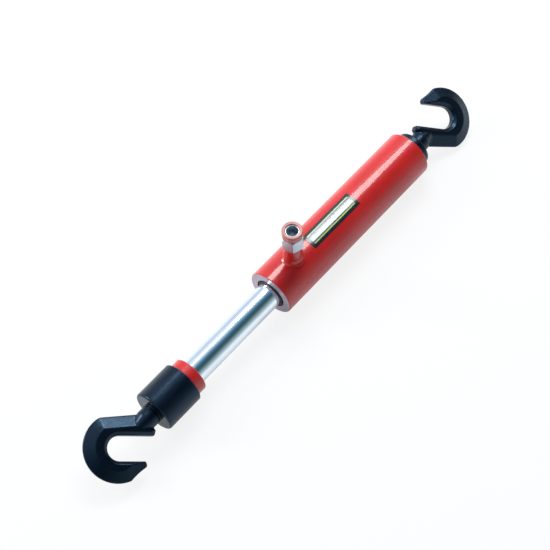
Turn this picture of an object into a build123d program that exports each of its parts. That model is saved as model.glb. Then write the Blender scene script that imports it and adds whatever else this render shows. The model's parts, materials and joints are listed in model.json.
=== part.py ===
from build123d import *
import math
import os

os.makedirs("parts", exist_ok=True)

# Hydraulic pull cylinder, stored with its rod fully out. Millimetres.
# The ram axis is the X axis and the rod end points along +X. The oil port points along +Z.
# The origin is the rear hook's load centre, the middle of the round bottom of its throat.

# Barrel
BARREL_OD = 60.0
BARREL_WALL = 6.0
END_THREAD_DEPTH = 1.0
EDGE_BREAK = 1.0

# Gland head at the rod end
GLAND_FLANGE = 6.0
GLAND_THREAD = 18.0
GLAND_PILOT = 12.0
WIPER_WALL = 4.0
WIPER_DEPTH = 5.5
WIPER_LIP = 1.2
ROD_SEAL_WALL = 5.0
ROD_SEAL_LENGTH = 7.0
SEAL_LAND = 3.0
SEAL_LIP_GAP = 1.5
BUSH_WALL = 2.0
BUSH_LENGTH = 15.0
O_RING_SECTION = 2.6
O_RING_SQUEEZE = 0.4
O_RING_SETBACK = 4.0

# Rod and piston; the annulus is the radial gap between rod and bore
ANNULUS = 8.0
STROKE = 130.0
COLLAR_GAP = 7.0
ROD_END_STEP = 1.0
PISTON_LENGTH = 30.0
PISTON_THREAD_DIA = 18.0
SPIGOT_WALL = 4.0
SPIGOT_LENGTH = 14.0
SPIGOT_SOCKET = 4.0
PISTON_SEAL_DEPTH = 5.0
PISTON_SEAL_LENGTH = 8.0
WEAR_RING_DEPTH = 2.0
WEAR_RING_LENGTH = 8.0
PISTON_GROOVE_LAND = 5.0
NUT_FLATS = 27.0
NUT_LENGTH = 15.0
THREAD_TAIL = 1.5

# Return spring
SPRING_WIRE = 3.0
SPRING_CLEAR = 1.2
SPRING_COILS = 8
END_COIL_ARC = 300.0
PACKED_GAP = 2.0

# Rear cap
CAP_BOSS_OD = 45.4
CAP_BOSS_LENGTH = 11.5
CAP_BOSS_ROUND = 2.5
CAP_WALL = 13.5
CAP_CLEAR = 6.0

# Collar and sleeve on the rod end
COLLAR_OD = 44.6
COLLAR_LENGTH = 13.5
SLEEVE_OD = 53.0
SLEEVE_LENGTH = 50.0
SLEEVE_WALL = 11.5
SLEEVE_CLEAR = 2.5
SLEEVE_ROUND = 2.5

# Oil port, on top of the barrel
PORT_INSET = 5.5
BOSS_OD = 22.0
BOSS_FOOT_OD = 28.5
BOSS_FOOT_HEIGHT = 5.0
BOSS_FOOT_KNEE = 1 / 3
BOSS_HEIGHT = 25.2
BOSS_SINK = 1.5
NIPPLE_THREAD_DIA = 16.6
NIPPLE_THREAD_LENGTH = 14.0
HEX_FLATS = 24.0
HEX_HEIGHT = 19.3
HEX_TURN = 43.0
NIPPLE_STANDOFF = 2.5
HEX_CHAMFER = 1.0
PORT_COLLAR_OD = 24.4
PORT_COLLAR_HEIGHT = 9.2
PORT_COLLAR_LIP = 1.6
NOSE_OD = 19.6
PORT_HOLE_DIA = 14.7
PORT_THREAD_DEPTH = 20.0
OIL_PASSAGE_DIA = 8.0

# Label plate, bent round the barrel; its width and offset are measured round the curve
LABEL_LENGTH = 82.0
LABEL_WIDTH = 21.3
LABEL_OFFSET = 1.6
LABEL_GAP = 12.0
LABEL_THICKNESS = 0.4
LABEL_GLUE = 0.1

# Swivel hook, the same forging at both ends
HOOK_REACH = 55.0
HOOK_THICKNESS = 16.0
THROAT_DIA = 28.4
THROAT_SHIFT = 1.9
THROAT_SLANT = 135.0
HEEL_SETBACK = 18.6
TIP_REACH = 29.5
CROWN_RADIUS = 39.4
CROWN_OUT = 2.0
CROWN_DROP = -0.4
NOSE_START = 67.5
BEAK_DEPTH = 0.9
TIP_BLUNT = 5.9
TIP_TURN = 71.0
TIP_ROUND = 2.2
HEEL_DROP = 3.2
HEEL_ROUND = 1.8
NECK_DIA = 25.0
NECK_TAPER = 14.0
NECK_OVERLAP = 13.0
BACK_CORNER = -103.4
BACK_REACH = 9.7
BACK_ROUND = 12.0
HOOK_EDGE = 4.0
BEVEL_ANGLE = 45.0
FACET_WIDTH = 13.5
FACET_ANGLE = 26.0
SHANK_DIA = 17.8
HOOK_NUT_WALL = 5.3
HOOK_NUT_LENGTH = 12.0
HOOK_NUT_SLOT = 4.0
HOOK_NUT_SLOTS = 4
HOOK_WASHER = 2.5
NUT_PIN_DIA = 4.0
FRONT_HOOK_TILT = -25.0
REAR_HOOK_TILT = -38.4

# Clearances
RUNNING = 0.05
SWIVEL_GAP = 0.3
THREAD_FIT = 0.05
PRESS_FIT = 0.02
POCKET_CLEAR = 0.8
SLACK = 0.5

# How near an edge's place and radius must be to the ones asked for
EDGE_MATCH = 0.01

# Diameters that follow from the sizes above
BARREL_BORE = BARREL_OD - 2 * BARREL_WALL
ROD_DIA = BARREL_BORE - 2 * ANNULUS
END_THREAD_DIA = BARREL_BORE + 2 * END_THREAD_DEPTH
SPRING_OD = BARREL_BORE - 2 * SPRING_CLEAR
WIPER_OD = ROD_DIA + 2 * WIPER_WALL
ROD_SEAL_OD = ROD_DIA + 2 * ROD_SEAL_WALL
BUSH_OD = ROD_DIA + 2 * BUSH_WALL
SPIGOT_OD = ROD_DIA + 2 * SPIGOT_WALL
ROD_END_THREAD_DIA = ROD_DIA - 2 * ROD_END_STEP

HOOK_NUT_OD = SHANK_DIA + 2 * HOOK_NUT_WALL
POCKET_DIA = HOOK_NUT_OD + 2 * POCKET_CLEAR
FACET_SLOPE = math.tan(math.radians(FACET_ANGLE))
FACET_RIM = HOOK_THICKNESS / 2 - FACET_WIDTH * FACET_SLOPE
CUTTER_SPAN = 2 * HOOK_REACH + 2 * CROWN_RADIUS

# Stations along the ram axis, all from the sizes above
NUT_STACK = HOOK_WASHER + HOOK_NUT_LENGTH + THREAD_TAIL
CAP_FACE = HOOK_REACH
BARREL_REAR = CAP_FACE + CAP_BOSS_LENGTH
CAP_INNER = CAP_FACE + CAP_WALL + NUT_STACK + CAP_CLEAR
PISTON_REAR = CAP_INNER + SPRING_COILS * SPRING_WIRE + PACKED_GAP + STROKE
PISTON_FRONT = PISTON_REAR + PISTON_LENGTH
GLAND_INNER = PISTON_FRONT + SPIGOT_LENGTH
BARREL_FRONT = GLAND_INNER + GLAND_PILOT + GLAND_THREAD
GLAND_FACE = BARREL_FRONT + GLAND_FLANGE
COLLAR_START = GLAND_FACE + STROKE + COLLAR_GAP
SLEEVE_START = COLLAR_START + COLLAR_LENGTH
SLEEVE_END = SLEEVE_START + SLEEVE_LENGTH
FRONT_HOOK_X = SLEEVE_END + HOOK_REACH
ROD_END = SLEEVE_END - SLEEVE_WALL - NUT_STACK - SLEEVE_CLEAR
PORT_X = GLAND_INNER - PORT_INSET

# From each hook's load centre to the end of its shank, through wall, washer and nut
FRONT_SHANK = HOOK_REACH + SLEEVE_WALL + NUT_STACK
REAR_SHANK = HOOK_REACH + CAP_WALL + NUT_STACK

# Inside the gland the rod seal lies behind the wiper's land, and the bush fills the inner end.
SEAL_FRONT = GLAND_FACE - WIPER_DEPTH - SEAL_LAND
O_RING_X = GLAND_INNER + O_RING_SETBACK

# Heights of the port's parts above the ram axis
BOSS_TOP = BARREL_OD / 2 + BOSS_HEIGHT
HEX_BOTTOM = BOSS_TOP + NIPPLE_STANDOFF
HEX_TOP = HEX_BOTTOM + HEX_HEIGHT
PORT_MOUTH = HEX_TOP + PORT_COLLAR_HEIGHT


def rod_along_x(dia, start, end):
    """A round bar on the ram axis."""
    return Pos(start, 0, 0) * Rot(0, 90, 0) * Cylinder(
        dia / 2, end - start, align=(Align.CENTER, Align.CENTER, Align.MIN)
    )


def tube_along_x(outer, inner, start, end):
    """A round tube on the ram axis."""
    return rod_along_x(outer, start, end) - rod_along_x(inner, start, end)


def bar_up(dia, low, high):
    """A round bar on the port's axis."""
    return Pos(PORT_X, 0, low) * Cylinder(
        dia / 2, high - low, align=(Align.CENTER, Align.CENTER, Align.MIN)
    )


def tube_up(outer, inner, low, high):
    """A round tube on the port's axis."""
    return bar_up(outer, low, high) - bar_up(inner, low, high)


def round_edges(part, dia):
    """The circular edges of a given diameter."""
    circles = part.edges().filter_by(GeomType.CIRCLE)
    return [e for e in circles if abs(e.radius - dia / 2) < EDGE_MATCH]


def rims(part, x, dia):
    """The round edges of a given diameter at one station along the ram axis."""
    found = round_edges(part, dia)
    return [e for e in found if abs(e.center(CenterOf.BOUNDING_BOX).X - x) < EDGE_MATCH]


def rims_up(part, z, dia):
    """The round edges of a given diameter at one height of the port."""
    found = round_edges(part, dia)
    return [e for e in found if abs(e.center(CenterOf.BOUNDING_BOX).Z - z) < EDGE_MATCH]


def barrel_tube():
    body = tube_along_x(BARREL_OD, BARREL_BORE, BARREL_REAR, BARREL_FRONT)
    body -= rod_along_x(END_THREAD_DIA, BARREL_REAR, CAP_INNER + SLACK)
    body -= rod_along_x(END_THREAD_DIA, BARREL_FRONT - GLAND_THREAD - SLACK, BARREL_FRONT)
    body = chamfer(rims(body, BARREL_REAR, BARREL_OD), EDGE_BREAK)
    body -= bar_up(OIL_PASSAGE_DIA, 0, BARREL_OD)
    return body - boss_seat()


def boss_seat():
    """The shallow flat-bottomed pocket in the barrel that takes the boss."""
    return bar_up(BOSS_OD, BARREL_OD / 2 - BOSS_SINK - SLACK, BARREL_OD / 2 + SLACK)


def gland_head():
    body = rod_along_x(BARREL_OD, BARREL_FRONT, GLAND_FACE)
    body = chamfer(rims(body, GLAND_FACE, BARREL_OD), EDGE_BREAK)
    body += rod_along_x(END_THREAD_DIA - 2 * THREAD_FIT, BARREL_FRONT - GLAND_THREAD, BARREL_FRONT)
    body += rod_along_x(BARREL_BORE - 2 * THREAD_FIT, GLAND_INNER, BARREL_FRONT - GLAND_THREAD)
    body -= rod_along_x(ROD_DIA + 2 * SLACK, GLAND_INNER, GLAND_FACE)
    body -= rod_along_x(WIPER_OD, GLAND_FACE - WIPER_DEPTH, GLAND_FACE)
    body -= rod_along_x(ROD_SEAL_OD, SEAL_FRONT - ROD_SEAL_LENGTH, SEAL_FRONT)
    body -= rod_along_x(BUSH_OD, GLAND_INNER, GLAND_INNER + BUSH_LENGTH)
    return body - o_ring_groove()


def o_ring_groove():
    depth = O_RING_SECTION - O_RING_SQUEEZE
    floor = BARREL_BORE - 2 * depth
    return tube_along_x(
        BARREL_BORE + SLACK, floor, O_RING_X - O_RING_SECTION / 2 - SLACK,
        O_RING_X + O_RING_SECTION / 2 + SLACK
    )


def gland_o_ring():
    """An O-ring pressed oval between the groove's floor and the bore."""
    depth = O_RING_SECTION - O_RING_SQUEEZE
    radius = BARREL_BORE / 2 - depth / 2
    section = Pos(O_RING_X, radius) * Ellipse(O_RING_SECTION / 2, depth / 2 - PRESS_FIT)
    return revolve(section, Axis.X)


def rod_wiper():
    start = GLAND_FACE - WIPER_DEPTH
    body = tube_along_x(WIPER_OD - 2 * PRESS_FIT, ROD_DIA + 2 * RUNNING, start, GLAND_FACE - WIPER_LIP)
    lip = Pos(GLAND_FACE - WIPER_LIP, 0, 0) * Rot(0, 90, 0) * Cone(
        ROD_DIA / 2 + WIPER_LIP * 2, ROD_DIA / 2 + WIPER_LIP, 2 * WIPER_LIP,
        align=(Align.CENTER, Align.CENTER, Align.MIN)
    )
    return body + (lip - rod_along_x(ROD_DIA + 2 * RUNNING, start, GLAND_FACE + 2 * WIPER_LIP))


def rod_seal():
    """A U-ring, open towards the oil."""
    start = SEAL_FRONT - ROD_SEAL_LENGTH
    body = tube_along_x(ROD_SEAL_OD - 2 * PRESS_FIT, ROD_DIA + 2 * RUNNING, start, SEAL_FRONT)
    middle = (ROD_SEAL_OD + ROD_DIA) / 2
    groove = ROD_SEAL_LENGTH / 2
    return body - tube_along_x(middle + SEAL_LIP_GAP, middle - SEAL_LIP_GAP, start, start + groove)


def rod_bush():
    return tube_along_x(
        BUSH_OD - 2 * PRESS_FIT, ROD_DIA + 2 * RUNNING, GLAND_INNER, GLAND_INNER + BUSH_LENGTH
    )


def port_boss():
    """A turned boss on a flared weld foot, bored for the nipple and the oil passage."""
    surface = BARREL_OD / 2
    flare = (BOSS_FOOT_OD - BOSS_OD) / 2
    foot_low = math.sqrt(surface ** 2 - (BOSS_FOOT_OD / 2) ** 2) - SLACK
    knee = (BOSS_OD / 2 + flare * BOSS_FOOT_KNEE, surface + BOSS_FOOT_HEIGHT * BOSS_FOOT_KNEE)
    outline = Polyline(
        (0, foot_low), (BOSS_FOOT_OD / 2, foot_low), (BOSS_FOOT_OD / 2, surface), knee,
        (BOSS_OD / 2, surface + BOSS_FOOT_HEIGHT), (BOSS_OD / 2, BOSS_TOP), (0, BOSS_TOP), close=True
    )
    profile = Plane.XZ * make_face(outline)
    foot = Pos(PORT_X, 0, 0) * revolve(profile, Axis.Z)
    foot = chamfer(rims_up(foot, BOSS_TOP, BOSS_OD), EDGE_BREAK)
    barrel = rod_along_x(BARREL_OD, PORT_X - BOSS_FOOT_OD, PORT_X + BOSS_FOOT_OD)
    body = foot - barrel
    body += bar_up(BOSS_OD - 2 * PRESS_FIT, surface - BOSS_SINK - SLACK, surface + SLACK)
    body -= bar_up(OIL_PASSAGE_DIA, 0, BOSS_TOP)
    return body - bar_up(NIPPLE_THREAD_DIA, BOSS_TOP - NIPPLE_THREAD_LENGTH - SLACK, BOSS_TOP)


def port_nipple():
    """The hexagon nipple: thread below, hexagon, and a nose that the collar sits on."""
    nose_top = PORT_MOUTH - PORT_COLLAR_LIP
    hexagon = Pos(PORT_X, 0, HEX_BOTTOM) * Rot(0, 0, HEX_TURN) * extrude(
        RegularPolygon(HEX_FLATS / 2, 6, major_radius=False), HEX_HEIGHT
    )
    trim = bar_up(hex_corner(HEX_FLATS), HEX_BOTTOM, HEX_TOP)
    trim = chamfer(rims_up(trim, HEX_BOTTOM, hex_corner(HEX_FLATS)), HEX_CHAMFER)
    trim = chamfer(rims_up(trim, HEX_TOP, hex_corner(HEX_FLATS)), HEX_CHAMFER)
    body = hexagon & trim
    body += bar_up(NIPPLE_THREAD_DIA - 2 * THREAD_FIT, BOSS_TOP - NIPPLE_THREAD_LENGTH, HEX_BOTTOM)
    body += bar_up(NOSE_OD, HEX_TOP, nose_top)
    body -= bar_up(PORT_HOLE_DIA, nose_top - PORT_THREAD_DEPTH, nose_top)
    return body - bar_up(OIL_PASSAGE_DIA, 0, nose_top)


def hex_corner(flats):
    """Across corners, from across flats."""
    return flats / math.cos(math.pi / 6)


def port_collar():
    """The coloured collar round the nose, with a lip turned in over its end."""
    body = tube_up(PORT_COLLAR_OD, NOSE_OD + 2 * PRESS_FIT, HEX_TOP, PORT_MOUTH)
    body += tube_up(PORT_COLLAR_OD, PORT_HOLE_DIA + 2 * SLACK, PORT_MOUTH - PORT_COLLAR_LIP, PORT_MOUTH)
    body = chamfer(rims_up(body, PORT_MOUTH, PORT_HOLE_DIA + 2 * SLACK), EDGE_BREAK)
    return fillet(rims_up(body, PORT_MOUTH, PORT_COLLAR_OD), EDGE_BREAK)


def label_plate():
    """A thin plate bent round the barrel beside the port."""
    end = PORT_X - BOSS_FOOT_OD / 2 - LABEL_GAP
    inner = BARREL_OD + 2 * LABEL_GLUE
    skin = tube_along_x(inner + 2 * LABEL_THICKNESS, inner, end - LABEL_LENGTH, end)
    low = (LABEL_OFFSET - LABEL_WIDTH / 2) / (BARREL_OD / 2)
    high = (LABEL_OFFSET + LABEL_WIDTH / 2) / (BARREL_OD / 2)
    reach = BARREL_OD
    corners = [
        (0, 0),
        (reach * math.sin(low), reach * math.cos(low)),
        (reach * math.sin(high), reach * math.cos(high)),
    ]
    sector = extrude(Plane.YZ * make_face(Polyline(*corners, close=True)), end)
    return skin & sector


def rear_cap():
    """The screwed plug: a round boss outside, a nut pocket and the spring seat inside."""
    body = rod_along_x(CAP_BOSS_OD, CAP_FACE, BARREL_REAR)
    body = fillet(rims(body, CAP_FACE, CAP_BOSS_OD), CAP_BOSS_ROUND)
    body += rod_along_x(END_THREAD_DIA - 2 * THREAD_FIT, BARREL_REAR, CAP_INNER)
    body -= rod_along_x(POCKET_DIA, CAP_FACE + CAP_WALL, CAP_INNER)
    return body - rod_along_x(SHANK_DIA + 2 * RUNNING, CAP_FACE, CAP_INNER)


def return_spring():
    """A round-wire spring between cap and piston, with a closed end coil at each end."""
    mean = (SPRING_OD - SPRING_WIRE) / 2
    length = PISTON_REAR - CAP_INNER - SPRING_WIRE
    line = Helix(length / (SPRING_COILS - 2), length, mean)
    wire = sweep(Plane(line @ 0, z_dir=line % 0) * Circle(SPRING_WIRE / 2), line, is_frenet=True)
    joint = Pos(mean, 0, 0) * Sphere(SPRING_WIRE / 2)
    section = Pos(mean, 0, 0) * Rot(90, 0, 0) * Circle(SPRING_WIRE / 2)
    coil = revolve(section, Axis.Z, END_COIL_ARC)
    spring = wire + joint + Rot(0, 0, -END_COIL_ARC) * coil
    spring += Pos(0, 0, length) * joint
    spring += Pos(0, 0, length) * coil
    return Pos(CAP_INNER + SPRING_WIRE / 2, 0, 0) * Rot(0, 90, 0) * spring


def piston_rod():
    """The rod: a thread for collar and sleeve in front, a spigot for the piston behind."""
    shoulder = PISTON_FRONT - SPIGOT_SOCKET
    body = rod_along_x(ROD_DIA, shoulder, COLLAR_START)
    body = chamfer(rims(body, COLLAR_START, ROD_DIA), EDGE_BREAK)
    front = rod_along_x(ROD_END_THREAD_DIA - 2 * THREAD_FIT, COLLAR_START - EDGE_BREAK, ROD_END)
    body += chamfer(rims(front, ROD_END, ROD_END_THREAD_DIA - 2 * THREAD_FIT), EDGE_BREAK)
    tail_end = PISTON_REAR - NUT_LENGTH - THREAD_TAIL
    tail = rod_along_x(PISTON_THREAD_DIA - 2 * THREAD_FIT, tail_end, shoulder)
    return body + chamfer(rims(tail, tail_end, PISTON_THREAD_DIA - 2 * THREAD_FIT), EDGE_BREAK)


def piston():
    body = rod_along_x(BARREL_BORE - 2 * RUNNING, PISTON_REAR, PISTON_FRONT)
    body += rod_along_x(SPIGOT_OD, PISTON_FRONT, GLAND_INNER)
    body -= rod_along_x(ROD_DIA + 2 * THREAD_FIT, PISTON_FRONT - SPIGOT_SOCKET, GLAND_INNER)
    body -= rod_along_x(PISTON_THREAD_DIA, PISTON_REAR, GLAND_INNER)
    for start, length, depth in piston_grooves():
        body -= tube_along_x(BARREL_BORE, BARREL_BORE - 2 * depth, start, start + length)
    return body


def piston_grooves():
    """Start, length and depth of the seal's groove and the wear ring's groove."""
    seal = PISTON_FRONT - PISTON_GROOVE_LAND - PISTON_SEAL_LENGTH
    wear = PISTON_REAR + PISTON_GROOVE_LAND
    return [(seal, PISTON_SEAL_LENGTH, PISTON_SEAL_DEPTH), (wear, WEAR_RING_LENGTH, WEAR_RING_DEPTH)]


def piston_seal():
    """A U-ring, open towards the oil at the rod side."""
    start, length, depth = piston_grooves()[0]
    inner = BARREL_BORE - 2 * depth + 2 * PRESS_FIT
    body = tube_along_x(BARREL_BORE - 2 * RUNNING, inner, start, start + length)
    middle = BARREL_BORE - depth
    groove = length / 2
    return body - tube_along_x(
        middle + SEAL_LIP_GAP, middle - SEAL_LIP_GAP, start + groove, start + length
    )


def piston_wear_ring():
    start, length, depth = piston_grooves()[1]
    inner = BARREL_BORE - 2 * depth + 2 * PRESS_FIT
    return tube_along_x(BARREL_BORE - 2 * RUNNING, inner, start, start + length)


def piston_nut():
    start = PISTON_REAR - NUT_LENGTH
    prism = extrude(RegularPolygon(NUT_FLATS / 2, 6, major_radius=False), NUT_LENGTH)
    corner = hex_corner(NUT_FLATS)
    trim = rod_along_x(corner, start, PISTON_REAR)
    trim = chamfer(rims(trim, start, corner), EDGE_BREAK)
    body = (Pos(start, 0, 0) * Rot(0, 90, 0) * prism) & trim
    return body - rod_along_x(PISTON_THREAD_DIA, start, PISTON_REAR)


def lock_collar():
    body = rod_along_x(COLLAR_OD, COLLAR_START, SLEEVE_START)
    body = chamfer(rims(body, COLLAR_START, COLLAR_OD), EDGE_BREAK)
    return body - rod_along_x(ROD_END_THREAD_DIA, COLLAR_START, SLEEVE_START)


def swivel_sleeve():
    """Screws onto the rod's thread; its end wall carries the front hook's shank."""
    body = rod_along_x(SLEEVE_OD, SLEEVE_START, SLEEVE_END)
    body = chamfer(rims(body, SLEEVE_START, SLEEVE_OD), EDGE_BREAK)
    body = fillet(rims(body, SLEEVE_END, SLEEVE_OD), SLEEVE_ROUND)
    body -= rod_along_x(ROD_END_THREAD_DIA, SLEEVE_START, ROD_END)
    body -= rod_along_x(POCKET_DIA, ROD_END, SLEEVE_END - SLEEVE_WALL)
    return body - rod_along_x(SHANK_DIA + 2 * RUNNING, SLEEVE_START, SLEEVE_END)


def polar(radius, degrees):
    return (radius * math.cos(math.radians(degrees)), radius * math.sin(math.radians(degrees)))


def shifted(point, other):
    return (point[0] + other[0], point[1] + other[1])


def hook_corners():
    """The corners of the hook's flat outline round its load centre, by name."""
    slot = polar(THROAT_SHIFT, THROAT_SLANT - 90)
    crown = (CROWN_OUT, CROWN_DROP)
    corners = {
        "heel_side": shifted(slot, polar(THROAT_DIA / 2, THROAT_SLANT + 90)),
        "bowl": shifted(slot, polar(THROAT_DIA / 2, THROAT_SLANT - 180)),
        "tip_side": shifted(slot, polar(THROAT_DIA / 2, THROAT_SLANT - 90)),
        "beak": shifted(crown, polar(CROWN_RADIUS, NOSE_START)),
        "far": shifted(crown, (CROWN_RADIUS, 0)),
        "back": shifted(crown, polar(CROWN_RADIUS, BACK_CORNER)),
        "neck": (-HOOK_REACH + NECK_OVERLAP, -BACK_REACH),
    }
    run = (HEEL_SETBACK - HOOK_REACH - corners["heel_side"][0]) / math.cos(math.radians(THROAT_SLANT))
    corners["heel"] = shifted(corners["heel_side"], polar(run, THROAT_SLANT))
    corners["heel_back"] = (corners["neck"][0], corners["heel"][1] - HEEL_DROP)
    corners["tip"] = shifted(corners["tip_side"], polar(TIP_REACH, THROAT_SLANT))
    corners["nose"] = shifted(corners["tip"], polar(TIP_BLUNT, THROAT_SLANT - TIP_TURN))
    return corners


def hook_outline():
    """The hook's flat outline. +X leaves the ram and +Y is the tip's side."""
    at = hook_corners()
    hollow = (
        (at["nose"][0] + at["beak"][0]) / 2, (at["nose"][1] + at["beak"][1]) / 2 - BEAK_DEPTH
    )
    edges = [
        Line(at["neck"], at["back"]),
        ThreePointArc(at["back"], at["far"], at["beak"]),
        ThreePointArc(at["beak"], hollow, at["nose"]),
        Line(at["nose"], at["tip"]),
        Line(at["tip"], at["tip_side"]),
        ThreePointArc(at["tip_side"], at["bowl"], at["heel_side"]),
        Line(at["heel_side"], at["heel"]),
        Line(at["heel"], at["heel_back"]),
        Line(at["heel_back"], at["neck"]),
    ]
    face = make_face(Wire(edges))
    rounds = {"heel": HEEL_ROUND, "tip": TIP_ROUND, "nose": TIP_ROUND, "back": BACK_ROUND}
    for name, radius in rounds.items():
        spot = face.vertices().sort_by_distance(Vector(*at[name], 0))[0]
        face = fillet(spot, radius)
    return face


def facet_line(start, end):
    """One straight outer edge's facet: the direction it faces, and a cutter for what lies above."""
    facing = math.degrees(math.atan2(end[1] - start[1], end[0] - start[0])) - 90
    cutter = Box(CUTTER_SPAN, CUTTER_SPAN, CROWN_RADIUS, align=(Align.CENTER, Align.CENTER, Align.MIN))
    return facing, Pos(*start, FACET_RIM) * Rot(0, 0, facing) * Rot(0, FACET_ANGLE, 0) * cutter


def facet_form():
    """The space over the blade's middle plane that the sloping outer faces leave."""
    at = hook_corners()
    half = HOOK_THICKNESS / 2
    crown = (CROWN_OUT, CROWN_DROP)
    nose_facing, nose_cutter = facet_line(at["beak"], at["nose"])
    back_facing, back_cutter = facet_line(at["neck"], at["back"])
    cone = Pos(*crown, 0) * Cone(
        CROWN_RADIUS + FACET_RIM / FACET_SLOPE, CROWN_RADIUS - FACET_WIDTH, half,
        align=(Align.CENTER, Align.CENTER, Align.MIN)
    )
    nose_end = shifted(crown, polar(CUTTER_SPAN, nose_facing))
    back_end = shifted(crown, polar(CUTTER_SPAN, back_facing))
    arms = make_face(Polyline(
        crown, nose_end, (-CUTTER_SPAN, nose_end[1]), (-CUTTER_SPAN, back_end[1]), back_end, close=True
    ))
    return cone + extrude(arms, half) - nose_cutter - back_cutter


def hook_blade():
    """The forged flat part of the hook: bevelled edges, and wide facets round its outer side."""
    core = HOOK_THICKNESS / 2 - HOOK_EDGE
    outline = hook_outline()
    upper = extrude(outline, core)
    upper += Pos(0, 0, core) * extrude(outline, HOOK_EDGE, taper=BEVEL_ANGLE)
    upper &= facet_form()
    return upper + mirror(upper, Plane.XY)


def hook(shank_end):
    """The whole forging in its own frame: blade, round neck and shank along -X."""
    neck_start = -HOOK_REACH + SWIVEL_GAP
    neck_end = -HOOK_REACH + NECK_OVERLAP
    body = hook_blade()
    body += rod_along_x(NECK_DIA, neck_start, neck_end)
    body += Pos(neck_end, 0, 0) * Rot(0, 90, 0) * Cone(
        NECK_DIA / 2, HOOK_THICKNESS / 2, NECK_TAPER, align=(Align.CENTER, Align.CENTER, Align.MIN)
    )
    body += rod_along_x(SHANK_DIA, -shank_end, neck_start)
    pin_x = -shank_end + THREAD_TAIL + HOOK_NUT_SLOT / 2
    return body - Pos(pin_x, 0, 0) * Cylinder(NUT_PIN_DIA / 2, NECK_DIA)


def hook_nut(shank_end):
    """A round nut with slots in its end; one slot holds the cross pin."""
    start = -shank_end + THREAD_TAIL
    body = tube_along_x(HOOK_NUT_OD, SHANK_DIA + 2 * THREAD_FIT, start, start + HOOK_NUT_LENGTH)
    for i in range(HOOK_NUT_SLOTS // 2):
        slot = Pos(start, 0, 0) * Rot(180 / (HOOK_NUT_SLOTS // 2) * i, 0, 0) * Box(
            HOOK_NUT_SLOT * 2, NUT_PIN_DIA + 2 * PRESS_FIT, HOOK_NUT_OD
        )
        body -= slot
    return body


def thrust_washer(shank_end):
    start = -shank_end + THREAD_TAIL + HOOK_NUT_LENGTH
    return tube_along_x(HOOK_NUT_OD, SHANK_DIA + 2 * THREAD_FIT, start, start + HOOK_WASHER)


def nut_pin(shank_end):
    """The cross pin through shank and nut slot."""
    pin_x = -shank_end + THREAD_TAIL + HOOK_NUT_SLOT / 2
    return Pos(pin_x, 0, 0) * Cylinder(NUT_PIN_DIA / 2 - PRESS_FIT, HOOK_NUT_OD - 2 * SLACK)


def front_place(part):
    """From the hook's own frame to the rod end, turned about the ram axis."""
    return Pos(FRONT_HOOK_X, 0, 0) * Rot(FRONT_HOOK_TILT, 0, 0) * part


def rear_place(part):
    """From the hook's own frame to the cap end, pointing the other way."""
    return Rot(REAR_HOOK_TILT, 0, 0) * Rot(0, 0, 180) * part


nodes = {
    "barrel_tube": barrel_tube(),
    "gland_head": gland_head(),
    "gland_o_ring": gland_o_ring(),
    "rod_wiper": rod_wiper(),
    "rod_seal": rod_seal(),
    "rod_bush": rod_bush(),
    "port_boss": port_boss(),
    "port_nipple": port_nipple(),
    "port_collar": port_collar(),
    "label_plate": label_plate(),
    "rear_cap": rear_cap(),
    "return_spring": return_spring(),
    "piston_rod": piston_rod(),
    "piston": piston(),
    "piston_seal": piston_seal(),
    "piston_wear_ring": piston_wear_ring(),
    "piston_nut": piston_nut(),
    "lock_collar": lock_collar(),
    "swivel_sleeve": swivel_sleeve(),
}
for end, place, shank in (("front", front_place, FRONT_SHANK), ("rear", rear_place, REAR_SHANK)):
    nodes[end + "_hook"] = place(hook(shank))
    nodes[end + "_hook_nut"] = place(hook_nut(shank))
    nodes[end + "_thrust_washer"] = place(thrust_washer(shank))
    nodes[end + "_nut_pin"] = place(nut_pin(shank))

for name, part in nodes.items():
    part.label = name
    export_step(part, "parts/" + name + ".step")
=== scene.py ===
import bpy
import bmesh
import json
import math
from mathutils import Matrix, Vector


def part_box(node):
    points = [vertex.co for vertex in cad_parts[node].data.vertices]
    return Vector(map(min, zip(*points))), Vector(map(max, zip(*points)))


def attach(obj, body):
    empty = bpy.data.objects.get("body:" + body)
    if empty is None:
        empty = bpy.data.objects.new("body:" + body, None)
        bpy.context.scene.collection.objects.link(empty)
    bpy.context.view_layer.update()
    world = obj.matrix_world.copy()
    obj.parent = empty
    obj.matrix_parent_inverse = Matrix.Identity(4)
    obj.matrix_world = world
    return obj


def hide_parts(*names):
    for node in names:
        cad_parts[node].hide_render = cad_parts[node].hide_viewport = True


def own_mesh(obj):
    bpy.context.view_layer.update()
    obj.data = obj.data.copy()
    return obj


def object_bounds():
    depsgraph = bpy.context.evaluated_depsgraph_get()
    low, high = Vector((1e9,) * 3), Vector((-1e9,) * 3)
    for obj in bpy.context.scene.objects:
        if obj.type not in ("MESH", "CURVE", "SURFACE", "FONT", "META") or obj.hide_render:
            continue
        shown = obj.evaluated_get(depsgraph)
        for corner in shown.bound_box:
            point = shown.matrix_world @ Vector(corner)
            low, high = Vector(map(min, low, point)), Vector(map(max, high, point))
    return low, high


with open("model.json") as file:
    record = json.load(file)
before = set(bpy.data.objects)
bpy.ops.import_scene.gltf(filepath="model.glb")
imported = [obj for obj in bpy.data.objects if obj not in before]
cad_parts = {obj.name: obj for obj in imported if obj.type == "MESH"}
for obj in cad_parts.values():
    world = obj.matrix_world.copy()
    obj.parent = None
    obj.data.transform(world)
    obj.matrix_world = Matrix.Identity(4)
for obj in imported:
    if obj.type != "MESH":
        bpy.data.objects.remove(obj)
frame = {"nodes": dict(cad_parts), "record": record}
CAD_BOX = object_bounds()
nodes = frame["nodes"]

# Metres. The ram axis is the X axis, the rod end points along +X and the oil port along +Z.

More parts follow.
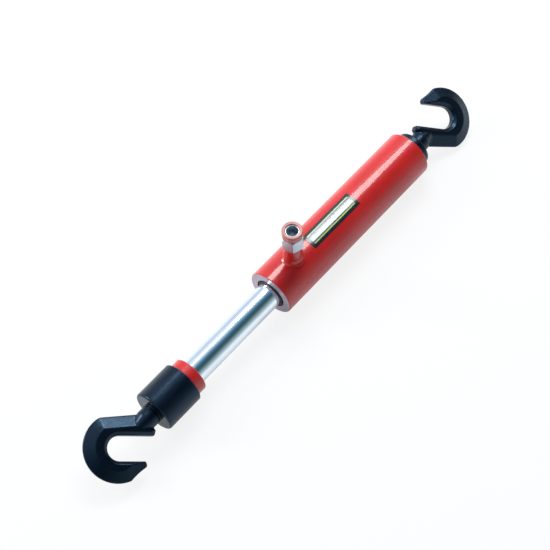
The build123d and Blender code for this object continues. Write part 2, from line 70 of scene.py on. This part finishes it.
# The camera, as azimuth, height and roll in degrees, and its distance from a point on the ram
VIEW_AZIMUTH = 133.24
VIEW_HEIGHT = 58.83
VIEW_ROLL = -3.02
VIEW_TARGET = Vector((0.30414, -0.01226, 0.0))
VIEW_DISTANCE = 1.79852
FOCAL_PIXELS = 1532.4
IMAGE_SIDE = 550
SENSOR = 36.0


def make_camera():
    data = bpy.data.cameras.new("camera")
    data.sensor_fit = "HORIZONTAL"
    data.sensor_width = SENSOR
    data.lens = FOCAL_PIXELS / IMAGE_SIDE * SENSOR
    data.clip_end = 20.0
    camera = bpy.data.objects.new("camera", data)
    azimuth, height = math.radians(VIEW_AZIMUTH), math.radians(VIEW_HEIGHT)
    back = Vector((
        math.sin(azimuth) * math.cos(height), -math.cos(azimuth) * math.cos(height), math.sin(height)
    ))
    right = Vector((math.cos(azimuth), math.sin(azimuth), 0.0))
    right.rotate(Matrix.Rotation(math.radians(VIEW_ROLL), 3, back))
    up = back.cross(right)
    place = Matrix((right, up, back)).transposed().to_4x4()
    place.translation = VIEW_TARGET + back * VIEW_DISTANCE
    camera.matrix_world = place
    bpy.context.scene.collection.objects.link(camera)
    bpy.context.scene.camera = camera


def node_tree(name):
    """A new material with its output node, as (material, tree, output)."""
    material = bpy.data.materials.new(name)
    material.use_nodes = True
    tree = material.node_tree
    tree.nodes.clear()
    return material, tree, tree.nodes.new("ShaderNodeOutputMaterial")


def add(tree, kind, inputs=None, **settings):
    """A node of one kind. An input value that is a socket is linked, and any other value is set."""
    node = tree.nodes.new("ShaderNode" + kind)
    for key, value in settings.items():
        setattr(node, key, value)
    for key, value in (inputs or {}).items():
        if isinstance(value, bpy.types.NodeSocket):
            tree.links.new(value, node.inputs[key])
        else:
            node.inputs[key].default_value = value
    return node


def colour(red, green, blue):
    return (red, green, blue, 1.0)


def ramp(tree, factor, *stops):
    """A colour ramp over a factor, from (position, colour) pairs."""
    node = add(tree, "ValToRGB", {"Fac": factor})
    elements = node.color_ramp.elements
    while len(elements) < len(stops):
        elements.new(0.5)
    for element, (position, tint) in zip(elements, stops):
        element.position = position
        element.color = tint
    return node.outputs["Color"]


def mix(tree, factor, first, second):
    node = add(tree, "Mix", data_type="RGBA")
    for key, value in (("Factor", factor), ("A", first), ("B", second)):
        sockets = [s for s in node.inputs if s.name == key and s.enabled]
        if isinstance(value, bpy.types.NodeSocket):
            tree.links.new(value, sockets[0])
        else:
            sockets[0].default_value = value
    return [s for s in node.outputs if s.enabled][0]


def maths(tree, operation, *values):
    node = add(tree, "Math", operation=operation)
    for i, value in enumerate(values):
        if isinstance(value, bpy.types.NodeSocket):
            tree.links.new(value, node.inputs[i])
        else:
            node.inputs[i].default_value = value
    return node.outputs[0]


def place_of(tree):
    """Where a point is on the piece, in metres. Every piece keeps its own frame as it moves."""
    return add(tree, "TexCoord").outputs["Object"]


def scaled(tree, vector, scale):
    return add(tree, "Mapping", {"Vector": vector, "Scale": scale}).outputs["Vector"]


def noise(tree, vector, scale, detail=3.0, roughness=0.55):
    return add(tree, "TexNoise", {
        "Vector": vector, "Scale": scale, "Detail": detail, "Roughness": roughness
    }).outputs["Fac"]


def bump(tree, height, distance, strength=1.0, normal=None):
    inputs = {"Height": height, "Distance": distance, "Strength": strength}
    if normal is not None:
        inputs["Normal"] = normal
    return add(tree, "Bump", inputs).outputs["Normal"]


def enamel(name, base, shade, gloss, coat, peel, tint_edge=(1.0, 1.0, 1.0), level=0.5):
    """Sprayed enamel: colour drift, orange peel, dull smears and a clear glossy skin."""
    material, tree, output = node_tree(name)
    place = place_of(tree)
    drift = noise(tree, place, 18.0, 2.0)
    tint = ramp(tree, drift, (0.35, colour(*shade)), (0.65, colour(*base)))
    skin = noise(tree, place, 900.0, 2.0)
    smear = noise(tree, scaled(tree, place, (6.0, 30.0, 30.0)), 8.0, 4.0)
    rough = ramp(tree, smear, (0.3, colour(gloss, gloss, gloss)), (0.75, colour(*([gloss * 1.6] * 3))))
    waves = bump(tree, noise(tree, place, 120.0, 1.0), 0.00025, 0.3)
    normal = bump(tree, skin, peel, 0.5, waves)
    shader = add(tree, "BsdfPrincipled", {
        "Base Color": tint, "Roughness": rough, "Normal": normal, "IOR": 1.5,
        "Specular IOR Level": level, "Specular Tint": colour(*tint_edge),
        "Coat Weight": coat, "Coat Roughness": 0.05, "Coat IOR": 1.5, "Coat Normal": waves,
    })
    tree.links.new(shader.outputs[0], output.inputs["Surface"])
    return material


def chrome():
    """Hard chrome: grinding rings, faint lengthwise drag marks and a thin uneven film of oil."""
    material, tree, output = node_tree("hard_chrome")
    place = place_of(tree)
    rings = noise(tree, scaled(tree, place, (1.0, 0.02, 0.02)), 9000.0, 2.0)
    drag = noise(tree, scaled(tree, place, (0.03, 1.0, 1.0)), 1500.0, 3.0)
    film = noise(tree, place, 45.0, 4.0)
    tint = ramp(tree, film, (0.3, colour(0.78, 0.86, 0.92)), (0.7, colour(0.86, 0.93, 0.97)))
    rough = ramp(tree, drag, (0.35, colour(0.07, 0.07, 0.07)), (0.7, colour(0.14, 0.14, 0.14)))
    normal = bump(tree, rings, 0.00001, 0.3)
    shader = add(tree, "BsdfPrincipled", {
        "Base Color": tint, "Metallic": 1.0, "Roughness": rough, "Normal": normal
    })
    tree.links.new(shader.outputs[0], output.inputs["Surface"])
    return material


def metal(name, light, dark, rough_low, rough_high, stretch, scale, depth):
    """Turned, plated or drawn metal: tool marks along one direction and patches of tarnish."""
    material, tree, output = node_tree(name)
    place = place_of(tree)
    marks = noise(tree, scaled(tree, place, stretch), scale, 3.0)
    tarnish = noise(tree, place, 90.0, 4.0)
    tint = ramp(tree, tarnish, (0.3, colour(*dark)), (0.7, colour(*light)))
    low, high = colour(*([rough_low] * 3)), colour(*([rough_high] * 3))
    rough = ramp(tree, marks, (0.3, low), (0.75, high))
    shader = add(tree, "BsdfPrincipled", {
        "Base Color": tint, "Metallic": 1.0, "Roughness": rough,
        "Normal": bump(tree, marks, depth, 0.4)
    })
    tree.links.new(shader.outputs[0], output.inputs["Surface"])
    return material


def plain_solid(name, light, dark, rough, grain, depth):
    """Rubber or moulded plastic: a fine grain, slight colour drift and dull sheen."""
    material, tree, output = node_tree(name)
    place = place_of(tree)
    drift = noise(tree, place, 60.0, 3.0)
    tint = ramp(tree, drift, (0.3, colour(*dark)), (0.7, colour(*light)))
    skin = noise(tree, place, grain, 2.0)
    dull = ramp(tree, skin, (0.2, colour(*([rough * 0.85] * 3))), (0.8, colour(*([rough * 1.15] * 3))))
    shader = add(tree, "BsdfPrincipled", {
        "Base Color": tint, "Roughness": dull, "Normal": bump(tree, skin, depth, 0.5)
    })
    tree.links.new(shader.outputs[0], output.inputs["Surface"])
    return material


RED = enamel("red_enamel", (0.62, 0.016, 0.014), (0.54, 0.013, 0.011), 0.25, 0.6, 0.00002, level=0.3)
BLACK = enamel(
    "black_enamel", (0.003, 0.0045, 0.010), (0.002, 0.0028, 0.006), 0.22, 0.0, 0.00003, (0.35, 0.65, 1.0), 0.5
)
COPPER = enamel("copper_red", (0.55, 0.17, 0.13), (0.42, 0.11, 0.09), 0.34, 0.2, 0.00002)
CHROME = chrome()
MARK_DEPTH = 0.00002
ZINC = metal(
    "zinc_plate", (0.60, 0.68, 0.74), (0.45, 0.53, 0.58), 0.28, 0.5, (0.2, 0.2, 1.0), 1200.0, MARK_DEPTH
)
STEEL = metal(
    "machined_steel", (0.58, 0.58, 0.6), (0.45, 0.45, 0.47), 0.25, 0.45, (1.0, 0.1, 0.1), 2500.0, MARK_DEPTH
)
SPRING = metal(
    "spring_steel", (0.26, 0.26, 0.28), (0.16, 0.15, 0.15), 0.35, 0.55, (0.3, 1.0, 1.0), 900.0, MARK_DEPTH
)
BRONZE = metal(
    "bronze", (0.62, 0.44, 0.24), (0.5, 0.33, 0.16), 0.25, 0.45, (1.0, 0.1, 0.1), 2500.0, MARK_DEPTH
)
RUBBER = plain_solid("seal_rubber", (0.022, 0.022, 0.024), (0.012, 0.012, 0.013), 0.55, 2500.0, 0.00003)
PLASTIC = plain_solid("wear_plastic", (0.76, 0.73, 0.63), (0.68, 0.64, 0.53), 0.45, 1800.0, 0.00002)

BARREL_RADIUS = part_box("gland_head")[1].z
GLAND_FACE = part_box("gland_head")[1].x


def band(tree, value, low, high, soft):
    """One between low and high, falling to nothing over a soft edge on both sides."""
    rise = add(tree, "MapRange", {0: value, 1: low - soft, 2: low + soft, 3: 0.0, 4: 1.0}).outputs[0]
    fall = add(tree, "MapRange", {0: value, 1: high - soft, 2: high + soft, 3: 1.0, 4: 0.0}).outputs[0]
    return maths(tree, "MULTIPLY", rise, fall)


def label_print():
    """Plain generic print: dark ground, two pale rules and a row of blank bars, over a pale band that is a
    painted reflection of the overhead light.
    """
    material, tree, output = node_tree("label_face")
    place = place_of(tree)
    split = add(tree, "SeparateXYZ", {"Vector": place})
    low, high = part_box("label_plate")
    length = high.x - low.x
    along = maths(tree, "DIVIDE", maths(tree, "SUBTRACT", split.outputs["X"], low.x), length)
    turn = maths(tree, "ARCTAN2", split.outputs["Y"], split.outputs["Z"])
    first = math.atan2(low.y, BARREL_RADIUS)
    last = math.asin(high.y / (BARREL_RADIUS + 0.0004))
    across = maths(tree, "DIVIDE", maths(tree, "SUBTRACT", turn, first), last - first)
    wear = noise(tree, place, 400.0, 4.0)
    ground = ramp(tree, wear, (0.3, colour(0.004, 0.012, 0.010)), (0.7, colour(0.012, 0.022, 0.02)))
    inside = band(tree, along, 0.05, 0.95, 0.004)
    # A pale band across the label, going from dark to pale: painted reflection of the overhead soft box
    painted_reflection_band = maths(tree, "MULTIPLY", band(tree, across, 0.36, 0.66, 0.012), inside)
    painted_reflection_tint = ramp(tree, across, (0.36, colour(0.05, 0.09, 0.10)), (0.52, colour(0.35, 0.5, 0.55)),
               (0.66, colour(0.55, 0.68, 0.72)))
    tint = mix(tree, painted_reflection_band, ground, painted_reflection_tint)
    blocks = noise(tree, scaled(tree, place, (1.0, 0.0, 0.0)), 260.0, 0.0)
    bars = maths(tree, "MULTIPLY", band(tree, blocks, 0.44, 0.9, 0.01), band(tree, across, 0.43, 0.59, 0.01))
    bars = maths(tree, "MULTIPLY", bars, band(tree, along, 0.09, 0.91, 0.004))
    tint = mix(tree, bars, tint, colour(0.75, 0.78, 0.48))
    for low_edge, high_edge, rule in ((0.17, 0.25, (0.5, 0.62, 0.42)), (0.745, 0.81, (0.55, 0.62, 0.2))):
        line = maths(tree, "MULTIPLY", band(tree, across, low_edge, high_edge, 0.012), inside)
        tint = mix(tree, line, tint, colour(*rule))
    rough = ramp(tree, wear, (0.3, colour(0.16, 0.16, 0.16)), (0.75, colour(0.34, 0.34, 0.34)))
    shader = add(tree, "BsdfPrincipled", {
        "Base Color": tint, "Roughness": rough, "Coat Weight": 0.5, "Coat Roughness": 0.08,
        "Normal": bump(tree, wear, 0.00001, 0.4)
    })
    tree.links.new(shader.outputs[0], output.inputs["Surface"])
    return material


def gland_paint():
    """The same red on the gland's side, and on the face in front a pale mauve that is a painted reflection of
    the white surroundings on the red paint.
    """
    material = RED.copy()
    material.name = "gland_paint"
    tree = material.node_tree
    shader = next(n for n in tree.nodes if n.type == "BSDF_PRINCIPLED")
    split = add(tree, "SeparateXYZ", {"Vector": place_of(tree)})
    face = add(tree, "MapRange", {
        0: split.outputs["X"], 1: GLAND_FACE - 0.0003, 2: GLAND_FACE - 0.0001, 3: 0.0, 4: 1.0
    }).outputs[0]
    red = shader.inputs["Base Color"].links[0].from_socket
    blotches = noise(tree, place_of(tree), 500.0, 3.0)
    # Pale mauve on the front face: painted reflection of the white surroundings, with a random blotchy tone
    face_painted_reflection = ramp(tree, blotches, (0.3, colour(0.30, 0.20, 0.26)), (0.7, colour(0.42, 0.31, 0.38)))
    tree.links.new(mix(tree, face, red, face_painted_reflection), shader.inputs["Base Color"])
    return material


LABEL = label_print()
GLAND = gland_paint()

FINISHES = {
    "red_enamel": RED, "black_enamel": BLACK, "copper_red": COPPER, "hard_chrome": CHROME,
    "zinc_plate": ZINC, "machined_steel": STEEL, "spring_steel": SPRING, "bronze": BRONZE,
    "seal_rubber": RUBBER, "wear_plastic": PLASTIC, "label_face": LABEL,
}


def dress_nodes():
    """Every solid of the frame gets the finish that the record names for it."""
    slot_of = {part["node"]: part["material_slot"] for part in frame["record"]["subparts"]}
    for name, obj in nodes.items():
        finish = GLAND if name == "gland_head" else FINISHES[slot_of[name]]
        obj.data.materials.clear()
        obj.data.materials.append(finish)


# Studio: a white floor, a white horizon under a dark ceiling, one long soft box and a side lamp
FLOOR_SIDE = 14.0
FLOOR_GLOW = 0.85
MIRRORED_GLOW = 0.35


def make_floor(level):
    mesh = bpy.data.meshes.new("floor")
    half = FLOOR_SIDE / 2
    corners = [(-half, -half, level), (half, -half, level), (half, half, level), (-half, half, level)]
    mesh.from_pydata(corners, [], [(0, 1, 2, 3)])
    floor = bpy.data.objects.new("floor", mesh)
    bpy.context.scene.collection.objects.link(floor)
    material, tree, output = node_tree("studio_floor")
    path = add(tree, "LightPath")
    bounced = maths(tree, "MAXIMUM", path.outputs["Is Glossy Ray"], path.outputs["Is Transmission Ray"])
    direct = maths(tree, "MULTIPLY", path.outputs["Is Camera Ray"], FLOOR_GLOW)
    share = maths(tree, "MULTIPLY_ADD", bounced, MIRRORED_GLOW, direct)
    matt = add(tree, "BsdfDiffuse", {"Color": colour(0.9, 0.9, 0.9)})
    glow = add(tree, "Emission", {"Color": colour(1.0, 1.0, 1.0), "Strength": 1.0})
    both = add(tree, "MixShader", {0: share, 1: matt.outputs[0], 2: glow.outputs[0]})
    tree.links.new(both.outputs[0], output.inputs["Surface"])
    mesh.materials.append(material)


# What the studio shows in each direction round the ram axis, in degrees from straight up to +Y
SURROUNDINGS = (
    (-92, (1.0, 1.0, 1.0)), (-84, (0.85, 0.9, 1.0)), (-68, (0.75, 0.82, 0.95)), (-64, (0.32, 0.42, 0.6)),
    (-60, (0.75, 0.82, 0.95)), (-30, (0.85, 0.92, 1.0)), (-12, (0.6, 0.78, 0.92)), (2, (0.22, 0.38, 0.5)),
    (15, (0.07, 0.16, 0.24)), (36, (0.03, 0.08, 0.11)), (50, (0.08, 0.15, 0.17)), (74, (0.36, 0.44, 0.46)),
    (88, (0.6, 0.7, 0.74)), (94, (1.0, 1.0, 1.0)),
)


def make_world():
    """Reflections show a pale wall on the -Y side and a dark ceiling. The camera itself sees white."""
    world = bpy.data.worlds.new("studio")
    bpy.context.scene.world = world
    world.use_nodes = True
    tree = world.node_tree
    tree.nodes.clear()
    output = tree.nodes.new("ShaderNodeOutputWorld")
    split = add(tree, "SeparateXYZ", {"Vector": add(tree, "TexCoord").outputs["Generated"]})
    turn = maths(tree, "ARCTAN2", split.outputs["Y"], split.outputs["Z"])
    share = maths(tree, "MULTIPLY_ADD", turn, 0.5 / math.pi, 0.5)
    stops = [(0.5 + degrees / 360, colour(*tint)) for degrees, tint in SURROUNDINGS]
    straight = add(tree, "LightPath").outputs["Is Camera Ray"]
    shown = mix(tree, straight, ramp(tree, share, *stops), colour(1.0, 1.0, 1.0))
    back = add(tree, "Background", {"Color": shown, "Strength": 1.0})
    tree.links.new(back.outputs[0], output.inputs["Surface"])


def make_lamp(name, place, target, size, power):
    data = bpy.data.lights.new(name, "AREA")
    data.shape = "RECTANGLE"
    data.size, data.size_y = size
    data.energy = power
    lamp = bpy.data.objects.new(name, data)
    lamp.location = place
    lamp.rotation_euler = (Vector(target) - Vector(place)).to_track_quat("-Z", "Y").to_euler()
    bpy.context.scene.collection.objects.link(lamp)


# Corners of a mesh that lie this close are one corner
WELD = 0.000001

# The forged hooks: grain size of the remeshed skin, and how far the forging's edges are rounded
GRAIN = 0.0007
ROUNDING_PASSES = 5
SHANK_CUT = 0.0542


def forged_hook(name, body, centre, outward):
    """The hook as a forging with soft edges. Its shank inside the ram keeps the turned shape."""
    source = nodes[name]
    pieces = []
    for part, side in (("forging", 1), ("shank", -1)):
        mesh = bmesh.new()
        mesh.from_mesh(source.data)
        bmesh.ops.remove_doubles(mesh, verts=mesh.verts, dist=WELD)
        cut = Vector((centre - outward * SHANK_CUT, 0.0, 0.0))
        found = bmesh.ops.bisect_plane(
            mesh, geom=mesh.verts[:] + mesh.edges[:] + mesh.faces[:], plane_co=cut,
            plane_no=Vector((outward * side, 0.0, 0.0)), clear_inner=True
        )
        rim = [g for g in found["geom_cut"] if isinstance(g, bmesh.types.BMEdge)]
        bmesh.ops.contextual_create(mesh, geom=rim)
        data = bpy.data.meshes.new(f"{name}_{part}")
        mesh.to_mesh(data)
        mesh.free()
        piece = bpy.data.objects.new(f"{name}_{part}", data)
        bpy.context.scene.collection.objects.link(piece)
        pieces.append(piece)
    forging, shank = pieces
    remesh = forging.modifiers.new("grain", "REMESH")
    remesh.mode = "VOXEL"
    remesh.voxel_size = GRAIN
    smooth = forging.modifiers.new("rounding", "SMOOTH")
    smooth.factor = 0.6
    smooth.iterations = ROUNDING_PASSES
    bpy.context.view_layer.update()
    done = forging.evaluated_get(bpy.context.evaluated_depsgraph_get())
    data = bpy.data.meshes.new_from_object(done)
    forging.modifiers.clear()
    forging.data = data
    data.polygons.foreach_set("use_smooth", [True] * len(data.polygons))
    for piece in pieces:
        piece.data.materials.clear()
        piece.data.materials.append(BLACK)
        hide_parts(name)
        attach(piece, body)


def return_spring():
    """A copy of the return spring's coils in spring steel, fixed to the barrel."""
    mesh = bmesh.new()
    mesh.from_mesh(nodes["return_spring"].data)
    bmesh.ops.remove_doubles(mesh, verts=mesh.verts, dist=WELD)
    data = bpy.data.meshes.new("return_spring_coils")
    mesh.to_mesh(data)
    mesh.free()
    data.materials.append(SPRING)
    spring = bpy.data.objects.new("return_spring_coils", data)
    bpy.context.scene.collection.objects.link(spring)
    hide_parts("return_spring")
    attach(spring, "barrel")
    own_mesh(spring)


make_camera()
dress_nodes()
FRONT_LOAD = next(m for m in frame["record"]["mounts"] if m["name"] == "front_hook_throat")["pos_m"][0]
forged_hook("front_hook", "front_swivel", FRONT_LOAD, 1)
forged_hook("rear_hook", "rear_swivel", 0.0, -1)
return_spring()
make_world()
make_floor(CAD_BOX[0][2])
make_lamp("softbox", (-0.36, -0.42, 1.2), (0.25, 0.0, 0.0), (0.85, 0.42), 13.0)
make_lamp("side", (1.1, -1.3, 0.9), (0.3, 0.0, 0.0), (0.5, 0.5), 14.0)

bpy.context.scene.view_settings.view_transform = "Standard"
